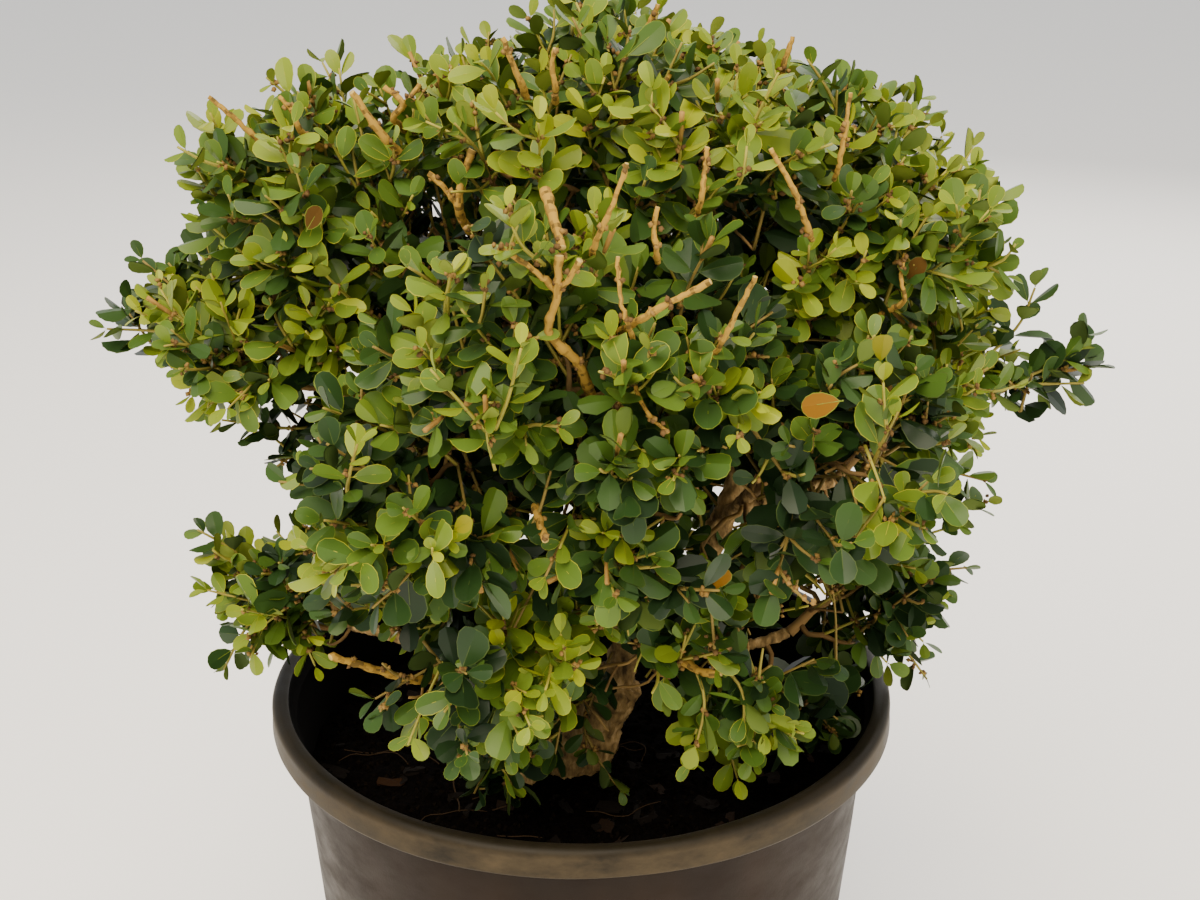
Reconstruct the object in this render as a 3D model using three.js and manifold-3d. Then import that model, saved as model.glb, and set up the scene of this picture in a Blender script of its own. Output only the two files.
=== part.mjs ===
// A clipped box bush in its nursery pot: pot, compost, trunk, boughs and masses of foliage.
// Millimetres, +Z up. The origin is the centre of the pot's flat underside, and -Y is the bush's front.
import * as THREE from 'three';
import { mergeVertices } from 'three/addons/utils/BufferGeometryUtils.js';
import Module from 'manifold-3d';

const wasm = await Module();
wasm.setup();

// Driving dimensions.
const POT_HEIGHT = 280;
const RIM_RADIUS = 150;
const RIM_BAND_HEIGHT = 14;
const RIM_MOUTH_RADIUS = 141;
const WALL_TOP_RADIUS = 139;
const WALL_FOOT_RADIUS = 118;
const WALL_THICKNESS = 3;
const COMPOST_DEPTH_BELOW_RIM = 38;
const COMPOST_CROWNING = 4;
const COMPOST_FLAT_RADIUS = 50;
const TRUNK_CUT_ALLOWANCE = 12;
const TRUNK_BASE_RADIUS = 17;
const TRUNK_FORK_RADIUS = 13;
const ROOT_FLARE = 6;
const ROOT_FLARE_HEIGHT = 16;
const TOUCHING_GAP = 0.6;
const MASS_CLEARANCE = 1.2;
const POT_SIDES = 36;
const TRUNK_SIDES = 14;
const BOUGH_SIDES = 7;
const BOUGH_STEPS = 6;
const TRUNK_STEPS = 9;

const COMPOST_TOP = POT_HEIGHT - COMPOST_DEPTH_BELOW_RIM;

// Finishes.
const potPlastic = new THREE.MeshStandardMaterial({ color: 0x3b3026, roughness: 0.62, metalness: 0 });
const dampCompost = new THREE.MeshStandardMaterial({ color: 0x17110c, roughness: 0.95, metalness: 0 });
const boxBark = new THREE.MeshStandardMaterial({ color: 0x7d6549, roughness: 0.88, metalness: 0 });
const boxLeaves = new THREE.MeshStandardMaterial({ color: 0x47702a, roughness: 0.5, metalness: 0 });

const bush = new THREE.Group();

function addNode(name, geometry, material) {
  const node = new THREE.Mesh(geometry, material);
  node.name = name;
  bush.add(node);
}

// Closed solids for cutting one piece back from another.
function solidOf(geometry) {
  const bare = geometry.clone();
  bare.deleteAttribute('normal');
  bare.deleteAttribute('uv');
  const merged = mergeVertices(bare, 1e-4);
  return new wasm.Manifold(new wasm.Mesh({
    numProp: 3,
    vertProperties: new Float32Array(merged.attributes.position.array),
    triVerts: new Uint32Array(merged.index.array),
  }));
}

function geometryOf(solid) {
  const mesh = solid.getMesh();
  const geometry = new THREE.BufferGeometry();
  geometry.setAttribute('position', new THREE.BufferAttribute(new Float32Array(mesh.vertProperties), 3));
  geometry.setIndex(new THREE.BufferAttribute(new Uint32Array(mesh.triVerts), 1));
  geometry.computeVertexNormals();
  return geometry;
}

function largestPiece(solid) {
  const pieces = solid.decompose();
  return pieces.reduce((best, piece) => (piece.volume() > best.volume() ? piece : best));
}

function cutBack(solid, neighbours) {
  let rest = solid;
  for (const neighbour of neighbours) {
    rest = rest.subtract(neighbour);
  }
  return largestPiece(rest);
}

// The pot: a tapered wall and a flat floor under a rolled rim whose band stands out round the wall.
function potGeometry() {
  const bandFoot = POT_HEIGHT - RIM_BAND_HEIGHT;
  const innerFoot = WALL_FOOT_RADIUS - WALL_THICKNESS;
  const innerTop = WALL_TOP_RADIUS - WALL_THICKNESS;
  const profile = [
    [0, 0],
    [WALL_FOOT_RADIUS, 0],
    [WALL_TOP_RADIUS, bandFoot],
    [RIM_RADIUS - 1.5, bandFoot],
    [RIM_RADIUS, bandFoot + 1.5],
    [RIM_RADIUS, POT_HEIGHT - 4],
    [RIM_RADIUS - 1.6, POT_HEIGHT - 1],
    [RIM_RADIUS - 4, POT_HEIGHT],
    [RIM_MOUTH_RADIUS + 2, POT_HEIGHT - 1],
    [RIM_MOUTH_RADIUS, POT_HEIGHT - 4],
    [innerTop, bandFoot - 3],
    [innerFoot, WALL_THICKNESS],
    [0, WALL_THICKNESS],
  ];
  return new THREE.LatheGeometry(profile.map(([r, z]) => new THREE.Vector2(r, z)), POT_SIDES)
    .rotateX(Math.PI / 2);
}

// The compost: everything inside the pot up to a slightly crowned surface.
function compostGeometry() {
  const foot = WALL_THICKNESS + TOUCHING_GAP;
  const wallAt = (z) => {
    const innerFoot = WALL_FOOT_RADIUS - WALL_THICKNESS;
    const innerTop = WALL_TOP_RADIUS - WALL_THICKNESS;
    const rise = (z - WALL_THICKNESS) / (POT_HEIGHT - RIM_BAND_HEIGHT - 3 - WALL_THICKNESS);
    return innerFoot + (innerTop - innerFoot) * rise - TOUCHING_GAP;
  };
  const shoulder = COMPOST_TOP - COMPOST_CROWNING;
  const profile = [
    [0, foot],
    [wallAt(foot), foot],
    [wallAt(shoulder), shoulder],
    [COMPOST_FLAT_RADIUS, COMPOST_TOP],
    [0, COMPOST_TOP],
  ];
  return new THREE.LatheGeometry(profile.map(([r, z]) => new THREE.Vector2(r, z)), POT_SIDES)
    .rotateX(Math.PI / 2);
}

// A limb: a closed round bar along a smooth curve, its radius given by its place along the curve.
function limbGeometry(points, radiusAt, sides, steps, growth = 0) {
  const curve = new THREE.CatmullRomCurve3(points.map((p) => new THREE.Vector3(...p)), false, 'centripetal');
  const frames = curve.computeFrenetFrames(steps, false);
  const bar = new THREE.CylinderGeometry(1, 1, 1, sides, steps);
  const position = bar.attributes.position;
  for (let i = 0; i < position.count; i += 1) {
    const along = position.getY(i) + 0.5;
    const ring = Math.round(along * steps);
    const radius = radiusAt(along) + growth;
    const place = curve.getPointAt(Math.min(Math.max(along, 0), 1))
      .addScaledVector(frames.normals[ring], position.getZ(i) * radius)
      .addScaledVector(frames.binormals[ring], position.getX(i) * radius)
      .addScaledVector(frames.tangents[ring], growth * Math.sign(along - 0.5));
    position.setXYZ(i, place.x, place.y, place.z);
  }
  bar.deleteAttribute('normal');
  bar.deleteAttribute('uv');
  return mergeVertices(bar, 1e-4);
}

// A mass of foliage: a ball stretched to its three half-widths, with its own swellings and hollows.
function foliageGeometry({ centre, halves, detail }, seed, growth = 0) {
  const ball = new THREE.IcosahedronGeometry(1, detail);
  ball.deleteAttribute('normal');
  ball.deleteAttribute('uv');
  const mass = mergeVertices(ball, 1e-4);
  const position = mass.attributes.position;
  const wave = (k) => new THREE.Vector3(Math.sin(seed * 12.9 + k * 4.1), Math.cos(seed * 7.3 + k * 2.7),
    Math.sin(seed * 3.7 + k * 5.9)).normalize();
  const waves = [0, 1, 2, 3].map((k) => ({ axis: wave(k), pitch: 3 + k * 1.3, height: 0.07 - k * 0.012 }));
  for (let i = 0; i < position.count; i += 1) {
    const out = new THREE.Vector3().fromBufferAttribute(position, i).normalize();
    const swell = waves.reduce(
      (sum, { axis, pitch, height }) => sum + height * Math.sin(out.dot(axis) * pitch + seed * 1.7), 1);
    const reach = new THREE.Vector3(out.x * halves[0], out.y * halves[1], out.z * halves[2])
      .multiplyScalar(swell);
    reach.addScaledVector(reach.clone().normalize(), growth);
    position.setXYZ(i, centre[0] + reach.x, centre[1] + reach.y, centre[2] + reach.z);
  }
  return mass;
}

// The trunk: from a flat cut at the compost, flared at its roots, leaning right to its low fork.
// Its line starts a little lower, so that the cut is square to the ground and not to the lean.
const trunkLine = [[-6, -14, COMPOST_TOP - TRUNK_CUT_ALLOWANCE], [2, -15, 256], [11, -17, 273], [20, -18, 290]];
const trunkRise = 290 - COMPOST_TOP + TRUNK_CUT_ALLOWANCE;
function trunkRadius(along) {
  const height = along * trunkRise - TRUNK_CUT_ALLOWANCE;
  const flare = ROOT_FLARE * Math.max(0, 1 - Math.max(height, 0) / ROOT_FLARE_HEIGHT) ** 2;
  return TRUNK_BASE_RADIUS + (TRUNK_FORK_RADIUS - TRUNK_BASE_RADIUS) * along + flare;
}
function belowGround() {
  const depth = 60;
  return new THREE.BoxGeometry(120, 120, depth).translate(0, 0, COMPOST_TOP + TOUCHING_GAP - depth / 2);
}

// The masses of foliage, in the order in which they keep their full shape.
const masses = [
  { name: 'foliage_top', centre: [8, -32, 547], halves: [92, 72, 46], detail: 3 },
  { name: 'foliage_upper_left', centre: [-98, -20, 519], halves: [63, 78, 58], detail: 3 },
  { name: 'foliage_upper_right', centre: [114, -12, 512], halves: [64, 80, 57], detail: 3 },
  { name: 'foliage_front', centre: [0, -122, 482], halves: [74, 52, 52], detail: 3 },
  { name: 'foliage_left', centre: [-144, -8, 466], halves: [56, 72, 32], detail: 2 },
  { name: 'foliage_right', centre: [144, 0, 431], halves: [46, 72, 55], detail: 2 },
  { name: 'foliage_front_left', centre: [-61, -104, 430], halves: [50, 60, 57], detail: 2 },
  { name: 'foliage_front_right', centre: [92, -98, 430], halves: [56, 58, 54], detail: 2 },
  { name: 'foliage_middle', centre: [14, -112, 412], halves: [44, 48, 42], detail: 2 },
  { name: 'foliage_low_front', centre: [-42, -98, 352], halves: [62, 50, 44], detail: 2 },
  { name: 'foliage_low_right', centre: [60, -84, 344], halves: [46, 42, 34], detail: 2 },
  { name: 'foliage_lobe_left', centre: [-139, -26, 343], halves: [30, 40, 33], detail: 2 },
  { name: 'foliage_lobe_right', centre: [133, 4, 332], halves: [36, 46, 42], detail: 2 },
  { name: 'foliage_top_back', centre: [28, 84, 530], halves: [96, 68, 48], detail: 2 },
  { name: 'foliage_back_left', centre: [-92, 92, 474], halves: [72, 62, 58], detail: 2 },
  { name: 'foliage_back_right', centre: [104, 92, 452], halves: [74, 62, 62], detail: 2 },
  { name: 'foliage_back', centre: [0, 130, 430], halves: [62, 42, 60], detail: 2 },
  { name: 'foliage_low_back_left', centre: [-68, 84, 372], halves: [60, 54, 46], detail: 2 },
  { name: 'foliage_low_back_right', centre: [76, 88, 362], halves: [62, 52, 44], detail: 2 },
  { name: 'foliage_fringe_left', centre: [-32, -78, 290], halves: [26, 26, 26], detail: 1 },
  { name: 'foliage_fringe_middle', centre: [10, -84, 290], halves: [24, 20, 30], detail: 1 },
  { name: 'foliage_fringe_right', centre: [66, -84, 300], halves: [24, 24, 28], detail: 1 },
  { name: 'foliage_inside_right', centre: [108, -22, 278], halves: [22, 26, 20], detail: 1 },
  { name: 'foliage_tip_left', centre: [-200, -8, 462], halves: [17, 12, 9], detail: 1 },
  { name: 'foliage_tip_right', centre: [212, -4, 434], halves: [24, 14, 10], detail: 1 },
  { name: 'foliage_tip_top', centre: [30, -10, 590], halves: [16, 14, 9], detail: 1 },
];

// The boughs: route, and radius at each end. Each starts at the trunk or at a thicker bough.
const boughs = [
  { name: 'bough_left', route: [[0, -15, 262], [-14, -20, 284], [-38, -22, 340], [-70, -18, 400], [-120, -14, 436]],
    radii: [8, 4] },
  { name: 'bough_right', route: [[20, -17, 284], [48, -14, 325], [68, -12, 372], [80, -8, 420], [112, -10, 482]],
    radii: [7.5, 3.5] },
  { name: 'bough_middle', route: [[19, -18, 284], [22, -12, 340], [12, -14, 430], [8, -26, 520]],
    radii: [8.5, 4] },
  { name: 'bough_back', route: [[18, -14, 284], [20, 20, 330], [18, 56, 390], [12, 92, 420]],
    radii: [7, 3.5] },
  { name: 'bough_upper_left', route: [[-34, -22, 332], [-44, -14, 400], [-66, -18, 456], [-96, -22, 490]],
    radii: [4.5, 3] },
  { name: 'bough_side_right', route: [[68, -12, 370], [96, -24, 385], [124, -28, 396], [152, -20, 412]],
    radii: [3.4, 2.5] },
  { name: 'bough_low_right', route: [[24, -16, 284], [56, -12, 294], [92, -8, 302], [136, 0, 318]],
    radii: [3.4, 2.4] },
  { name: 'bough_low_left', route: [[-14, -20, 284], [-46, -30, 302], [-86, -32, 316], [-128, -28, 328]],
    radii: [4, 2.5] },
  { name: 'bough_low_front', route: [[10, -22, 276], [-2, -46, 300], [-20, -66, 326], [-34, -86, 344]],
    radii: [4, 2.8] },
  { name: 'bough_front', route: [[15, -14, 400], [8, -44, 430], [4, -84, 456], [2, -110, 470]],
    radii: [4.5, 3] },
  { name: 'bough_front_left', route: [[-38, -22, 344], [-50, -44, 378], [-66, -66, 404], [-80, -92, 420]],
    radii: [3.5, 2.5] },
  { name: 'bough_front_right', route: [[66, -13, 366], [74, -36, 388], [82, -62, 408], [88, -86, 420]],
    radii: [3.5, 2.5] },
  { name: 'bough_back_left', route: [[18, 56, 388], [-12, 62, 416], [-44, 72, 440], [-76, 84, 456]],
    radii: [4, 2.8] },
  { name: 'bough_back_right', route: [[20, 30, 345], [46, 48, 384], [70, 68, 416], [92, 82, 436]],
    radii: [4, 2.8] },
];

// Building: every later piece is cut back from the earlier ones it meets, with a gap between them.
const pot = potGeometry();
const compost = compostGeometry();
addNode('pot', pot, potPlastic);
addNode('compost', compost, dampCompost);

const keepOut = [];
const massKeepOut = [];
masses.forEach((mass, index) => {
  const whole = solidOf(foliageGeometry(mass, index + 1));
  addNode(mass.name, geometryOf(cutBack(whole, massKeepOut)), boxLeaves);
  massKeepOut.push(solidOf(foliageGeometry(mass, index + 1, MASS_CLEARANCE)));
});

const wholeTrunk = solidOf(limbGeometry(trunkLine, trunkRadius, TRUNK_SIDES, TRUNK_STEPS));
addNode('trunk', geometryOf(wholeTrunk.subtract(solidOf(belowGround()))), boxBark);
keepOut.push(solidOf(limbGeometry(trunkLine, trunkRadius, TRUNK_SIDES, TRUNK_STEPS, TOUCHING_GAP)));

for (const { name, route, radii } of boughs) {
  const taper = (along) => radii[0] + (radii[1] - radii[0]) * along;
  const whole = solidOf(limbGeometry(route, taper, BOUGH_SIDES, BOUGH_STEPS));
  addNode(name, geometryOf(cutBack(whole, [...keepOut, ...massKeepOut])), boxBark);
  keepOut.push(solidOf(limbGeometry(route, taper, BOUGH_SIDES, BOUGH_STEPS, TOUCHING_GAP)));
}

export default bush;
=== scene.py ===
import math

import bpy
import numpy as np
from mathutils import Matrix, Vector, kdtree, noise
from mathutils.bvhtree import BVHTree


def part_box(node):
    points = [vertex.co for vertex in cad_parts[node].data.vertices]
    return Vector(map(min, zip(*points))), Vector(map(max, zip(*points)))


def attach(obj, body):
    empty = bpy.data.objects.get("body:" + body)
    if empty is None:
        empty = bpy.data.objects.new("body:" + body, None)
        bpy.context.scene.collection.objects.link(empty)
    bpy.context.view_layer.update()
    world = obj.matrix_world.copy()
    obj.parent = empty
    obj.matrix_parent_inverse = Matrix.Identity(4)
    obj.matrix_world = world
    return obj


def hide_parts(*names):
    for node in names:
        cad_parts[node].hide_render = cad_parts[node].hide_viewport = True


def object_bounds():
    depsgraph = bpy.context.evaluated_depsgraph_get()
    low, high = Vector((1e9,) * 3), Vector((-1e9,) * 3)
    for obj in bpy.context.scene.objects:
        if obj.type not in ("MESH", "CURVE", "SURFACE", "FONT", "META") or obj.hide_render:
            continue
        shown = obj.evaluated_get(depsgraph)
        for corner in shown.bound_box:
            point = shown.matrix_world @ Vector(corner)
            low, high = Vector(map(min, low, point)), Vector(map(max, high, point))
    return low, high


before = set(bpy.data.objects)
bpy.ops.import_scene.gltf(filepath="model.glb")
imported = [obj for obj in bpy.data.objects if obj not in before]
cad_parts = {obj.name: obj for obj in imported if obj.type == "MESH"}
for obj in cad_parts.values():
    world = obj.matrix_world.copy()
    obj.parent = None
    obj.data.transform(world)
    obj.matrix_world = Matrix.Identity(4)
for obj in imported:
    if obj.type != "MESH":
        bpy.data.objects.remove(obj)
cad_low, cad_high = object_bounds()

MM = 0.001


# ------------------------------------------------------------------------------------------
# Camera. It looks slightly down on the bush, as a person does who stands over a potted plant.
# It takes in the whole crown and the top of the pot.

rim_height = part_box("pot")[1].z
LENS_MM = 48
SENSOR_MM = 36
CAMERA_IN_FRONT = 694.6 * MM
CAMERA_ABOVE_RIM = 384.1 * MM
CAMERA_TILT_DOWN = math.radians(21.07)
CAMERA_TURN_RIGHT = math.radians(0.74)

camera_data = bpy.data.cameras.new("camera")
camera_data.lens = LENS_MM
camera_data.sensor_width = SENSOR_MM
camera = bpy.data.objects.new("camera", camera_data)
bpy.context.scene.collection.objects.link(camera)
camera.location = (0, -CAMERA_IN_FRONT, rim_height + CAMERA_ABOVE_RIM)
camera.rotation_euler = (math.pi / 2 - CAMERA_TILT_DOWN, 0, -CAMERA_TURN_RIGHT)
bpy.context.scene.camera = camera


# ------------------------------------------------------------------------------------------
# Stage. A plain pale floor and soft studio light: one broad lamp high at the front left,
# weaker ones at the right and behind, and an even pale sky all round.

def linear(hex_colour):
    """An sRGB hex colour as linear red, green, blue and alpha."""
    parts = [int(hex_colour[i:i + 2], 16) / 255 for i in (1, 3, 5)]
    return tuple(c / 12.92 if c <= 0.04045 else ((c + 0.055) / 1.055) ** 2.4 for c in parts) + (1.0,)


def plain_material(name, colour, roughness, specular=0.5):
    material = bpy.data.materials.new(name)
    material.use_nodes = True
    shader = material.node_tree.nodes["Principled BSDF"]
    shader.inputs["Base Color"].default_value = linear(colour)
    shader.inputs["Roughness"].default_value = roughness
    shader.inputs["Specular IOR Level"].default_value = specular
    return material


def nothing_selected():
    if bpy.context.object and bpy.context.object.mode != "OBJECT":
        bpy.ops.object.mode_set(mode="OBJECT")
    bpy.ops.object.select_all(action="DESELECT")


nothing_selected()
bpy.ops.mesh.primitive_plane_add(size=40, location=(0, 0, 0))
floor = bpy.context.object
floor.name = "floor"
floor.data.materials.append(plain_material("pale_studio_floor", "#fbfaf8", 0.9, 0.1))


def softbox(name, place, aim, width, watts, colour):
    light = bpy.data.lights.new(name, "AREA")
    light.size = width
    light.energy = watts
    light.color = linear(colour)[:3]
    lamp = bpy.data.objects.new(name, light)
    bpy.context.scene.collection.objects.link(lamp)
    lamp.location = place
    lamp.rotation_euler = (Vector(aim) - Vector(place)).to_track_quat("-Z", "Y").to_euler()


crown_centre = Vector((0, 0, 0.43))
softbox("key_light", (-0.6, -1.3, 2.3), crown_centre, 2.0, 140, "#ffeed4")
softbox("fill_light", (1.6, -1.3, 1.0), crown_centre, 1.6, 28, "#ffeccf")
softbox("back_light", (0.9, 1.9, 1.6), crown_centre, 1.8, 40, "#fff8ee")

sky = bpy.data.worlds.new("studio")
sky.use_nodes = True
sky.node_tree.nodes["Background"].inputs["Color"].default_value = linear("#fbfbfa")
sky.node_tree.nodes["Background"].inputs["Strength"].default_value = 1.0
bpy.context.scene.world = sky


# ------------------------------------------------------------------------------------------
# Pot. A round nursery pot, thin-walled and injection moulded in black-brown recycled
# polypropylene, with a rolled rim whose band stands out round the wall.

POT_SIDES = 180
WALL = 2.6 * MM


def turned(name, sides, profile):
    """A closed turned body: a disc is drawn up through each radius and height of the profile."""
    nothing_selected()
    radius, height = profile[0]
    bpy.ops.mesh.primitive_circle_add(vertices=sides, radius=radius, fill_type="NGON",
                                      location=(0, 0, height))
    body = bpy.context.object
    body.name = name
    bpy.ops.object.mode_set(mode="EDIT")
    bpy.ops.mesh.select_mode(type="FACE")
    bpy.ops.mesh.select_all(action="SELECT")
    for next_radius, next_height in profile[1:]:
        rise = (0, 0, next_height - height)
        bpy.ops.mesh.extrude_region_move(TRANSFORM_OT_translate={"value": rise})
        grow = next_radius / radius
        bpy.ops.transform.resize(value=(grow, grow, 1))
        radius, height = next_radius, next_height
    bpy.ops.mesh.select_all(action="SELECT")
    bpy.ops.mesh.normals_make_consistent(inside=False)
    bpy.ops.object.mode_set(mode="OBJECT")
    bpy.ops.object.transform_apply(location=True, rotation=True, scale=True)
    return body


def arc(centre_radius, centre_height, radius, start, end, steps):
    """Points of a rounded edge, by angle in degrees: 0 points outwards and 90 up."""
    angles = [math.radians(start + (end - start) * k / steps) for k in range(steps + 1)]
    return [(centre_radius + radius * math.cos(a), centre_height + radius * math.sin(a)) for a in angles]


rim_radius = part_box("pot")[1].x
wall_foot = 118 * MM
wall_top = 139 * MM
band_foot = rim_height - 14 * MM
mouth = 141 * MM
floor_centre = 60 * MM
floor_thickness = 3 * MM
FOOT_ROUND = 1.6 * MM
BAND_ROUND = 1.8 * MM
LIP_ROUND = 4 * MM
MOUTH_ROUND = 2.4 * MM


def up_the_wall(shares, inset=0.0):
    """Points on the tapered wall, by their share of its height."""
    return [(wall_foot + (wall_top - wall_foot) * k - inset, band_foot * k) for k in shares]


# From the middle of the base out, up the outside, over the rim and down the inside.
pot_profile = [(floor_centre, 0.0), (wall_foot - 5 * MM, 0.0)]
pot_profile += arc(wall_foot - FOOT_ROUND, FOOT_ROUND, FOOT_ROUND, -90, 0, 4)
pot_profile += up_the_wall((0.04, 0.06, 0.2, 0.4, 0.6, 0.8, 0.94))
pot_profile += [(wall_top, band_foot - 2 * MM)]
pot_profile += arc(wall_top + 2.2 * MM, band_foot - FOOT_ROUND, FOOT_ROUND, 180, 90, 4)
pot_profile += [(rim_radius - 3 * MM, band_foot)]
pot_profile += arc(rim_radius - BAND_ROUND, band_foot + BAND_ROUND, BAND_ROUND, -90, 0, 4)
pot_profile += [(rim_radius - 0.4 * MM, rim_height - 7 * MM)]
pot_profile += arc(rim_radius - 4.4 * MM, rim_height - LIP_ROUND, LIP_ROUND, 0, 90, 7)
pot_profile += arc(mouth + MOUTH_ROUND, rim_height - 2.8 * MM, MOUTH_ROUND, 90, 180, 5)
pot_profile += [(mouth - 1.5 * MM, rim_height - 7 * MM)]
pot_profile += arc(mouth - 4.2 * MM, rim_height - 10 * MM, 2 * MM, 40, 0, 2)
pot_profile += [(wall_top - WALL, band_foot - 6 * MM)]
pot_profile += up_the_wall((0.8, 0.4, 0.02), WALL)
pot_profile += [(floor_centre, floor_thickness)]
pot = turned("pot_shell", POT_SIDES, pot_profile)

# Such a thin rim is never quite true: it is a little out of round.
dents = bpy.data.textures.new("handling_dents", "CLOUDS")
dents.noise_scale = 90 * MM
warp = pot.modifiers.new("handling_dents", "DISPLACE")
warp.texture = dents
warp.texture_coords = "LOCAL"
warp.strength = 1.4 * MM
warp.mid_level = 0.5
foot_free = pot.vertex_groups.new(name="above_foot")
foot_free.add([v.index for v in pot.data.vertices if v.co.z > 20 * MM], 1.0, "REPLACE")
warp.vertex_group = "above_foot"
bpy.context.view_layer.objects.active = pot
bpy.ops.object.modifier_apply(modifier="handling_dents")
bpy.ops.object.shade_smooth_by_angle(angle=math.radians(40))


def add_node(tree, kind, inputs=(), stops=(), **settings):
    """Adds one shader node, with its settings, its colour stops, its numbers and its links."""
    made = tree.nodes.new(kind)
    for setting, value in settings.items():
        setattr(made, setting, value)
    while stops and len(made.color_ramp.elements) < len(stops):
        made.color_ramp.elements.new(1.0)
    for k, (position, colour) in enumerate(stops):
        made.color_ramp.elements[k].position = position
        made.color_ramp.elements[k].color = linear(colour)
    for socket, value in dict(inputs).items():
        if isinstance(value, bpy.types.NodeSocket):
            tree.links.new(value, made.inputs[socket])
        else:
            made.inputs[socket].default_value = value
    return made


# Moulded polypropylene: black-brown and a little glossy on the wall, with rubbed streaks. The
# band round the rim is grey with dust and smudged, and it is darker along its top edge.
pot_plastic = plain_material("moulded_recycled_polypropylene", "#1d1610", 0.45, 0.12)
tree = pot_plastic.node_tree
shader = tree.nodes["Principled BSDF"]
place = add_node(tree, "ShaderNodeTexCoord").outputs["Object"]
height = add_node(tree, "ShaderNodeSeparateXYZ", {0: place}).outputs["Z"]
SMUDGE = 24 * MM
STREAK_WIDTH = 26 * MM
GRAIN = 0.9 * MM
flattened = add_node(tree, "ShaderNodeMapping", {"Vector": place, "Scale": (1.0, 1.0, 2.2)})
smudges = add_node(tree, "ShaderNodeTexNoise", {"Vector": flattened.outputs[0], "Scale": 1 / SMUDGE,
                                                "Detail": 7.0, "Roughness": 0.65})
tall = add_node(tree, "ShaderNodeMapping", {"Vector": place, "Scale": (1.0, 1.0, 0.25)})
streaks = add_node(tree, "ShaderNodeTexNoise", {"Vector": tall.outputs[0], "Scale": 1 / STREAK_WIDTH,
                                                "Detail": 2.0})
wall_colour = add_node(tree, "ShaderNodeValToRGB", {0: streaks.outputs["Fac"]},
                       stops=((0.3, "#150c06"), (0.8, "#1f140a")))
band_colour = add_node(tree, "ShaderNodeValToRGB", {0: smudges.outputs["Fac"]},
                       stops=((0.3, "#1b170f"), (0.74, "#453b2a")))
on_band = add_node(tree, "ShaderNodeMapRange", {"Value": height, "From Min": band_foot - 3 * MM,
                                                "From Max": band_foot + 1 * MM})
wall_and_band = add_node(tree, "ShaderNodeMix", {0: on_band.outputs[0], 6: wall_colour.outputs[0],
                                                 7: band_colour.outputs[0]}, data_type="RGBA")
on_top = add_node(tree, "ShaderNodeMapRange", {"Value": height, "From Min": rim_height - 4.5 * MM,
                                               "From Max": rim_height - 0.8 * MM, "To Max": 0.85})
whole_pot = add_node(tree, "ShaderNodeMix", {0: on_top.outputs[0], 6: wall_and_band.outputs[2],
                                             7: linear("#12100a")}, data_type="RGBA")
tree.links.new(whole_pot.outputs[2], shader.inputs["Base Color"])
dulling = add_node(tree, "ShaderNodeMapRange", {"Value": smudges.outputs["Fac"], "From Min": 0.3,
                                                "From Max": 0.7, "To Min": 0.38, "To Max": 0.6})
tree.links.new(dulling.outputs[0], shader.inputs["Roughness"])
grain = add_node(tree, "ShaderNodeTexNoise", {"Vector": place, "Scale": 1 / GRAIN, "Detail": 2.0})
relief = add_node(tree, "ShaderNodeBump", {"Height": grain.outputs["Fac"], "Strength": 0.25,
                                           "Distance": 0.2 * MM})
tree.links.new(relief.outputs[0], shader.inputs["Normal"])
pot.data.materials.append(pot_plastic)

# Inside, the same plastic is painted near-black and dull: painted shade for the inside of the pot.
pot.data.materials.append(plain_material("painted_shade_inner_wall", "#080604", 0.8, 0.05))
for face in pot.data.polygons:
    if face.normal.xy.dot(face.center.xy.normalized()) < -0.5:
        face.material_index = 1
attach(pot, "root")
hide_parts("pot")


# ------------------------------------------------------------------------------------------
# Compost. Damp peat and bark compost, nearly black, slightly crowned and lumpy, with crumbs,
# a few paler bark chips and fine dried roots on its surface.

compost_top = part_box("compost")[1].z
compost_radius = wall_foot + (wall_top - wall_foot) * (compost_top / band_foot) - WALL - 0.4 * MM
COMPOST_RINGS = 64
COMPOST_SIDES = 220
CROWNING = 4 * MM
edge_height = compost_top - CROWNING
ring_radii = [compost_radius * (1 - k / COMPOST_RINGS) for k in range(1, COMPOST_RINGS)]
compost_profile = [(compost_radius - 1 * MM, compost_top - 24 * MM), (compost_radius, edge_height)]
compost_profile += [(r, compost_top - CROWNING * (r / compost_radius) ** 2) for r in ring_radii]
compost = turned("compost_surface", COMPOST_SIDES, compost_profile)
lumps = bpy.data.textures.new("compost_lumps", "CLOUDS")
lumps.noise_scale = 16 * MM
crumble = bpy.data.textures.new("compost_crumble", "CLOUDS")
crumble.noise_scale = 4.5 * MM
crumble.noise_depth = 3
inner = compost.vertex_groups.new(name="surface")
inner.add([v.index for v in compost.data.vertices if v.co.z > edge_height - 1 * MM], 1.0, "REPLACE")
for texture, strength in ((lumps, 5 * MM), (crumble, 4 * MM)):
    heave = compost.modifiers.new(texture.name, "DISPLACE")
    heave.texture = texture
    heave.texture_coords = "LOCAL"
    heave.direction = "Z"
    heave.strength = strength
    heave.mid_level = 0.55
    heave.vertex_group = "surface"
    bpy.ops.object.modifier_apply(modifier=heave.name)
bpy.ops.object.shade_smooth_by_angle(angle=math.radians(50))

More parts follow.
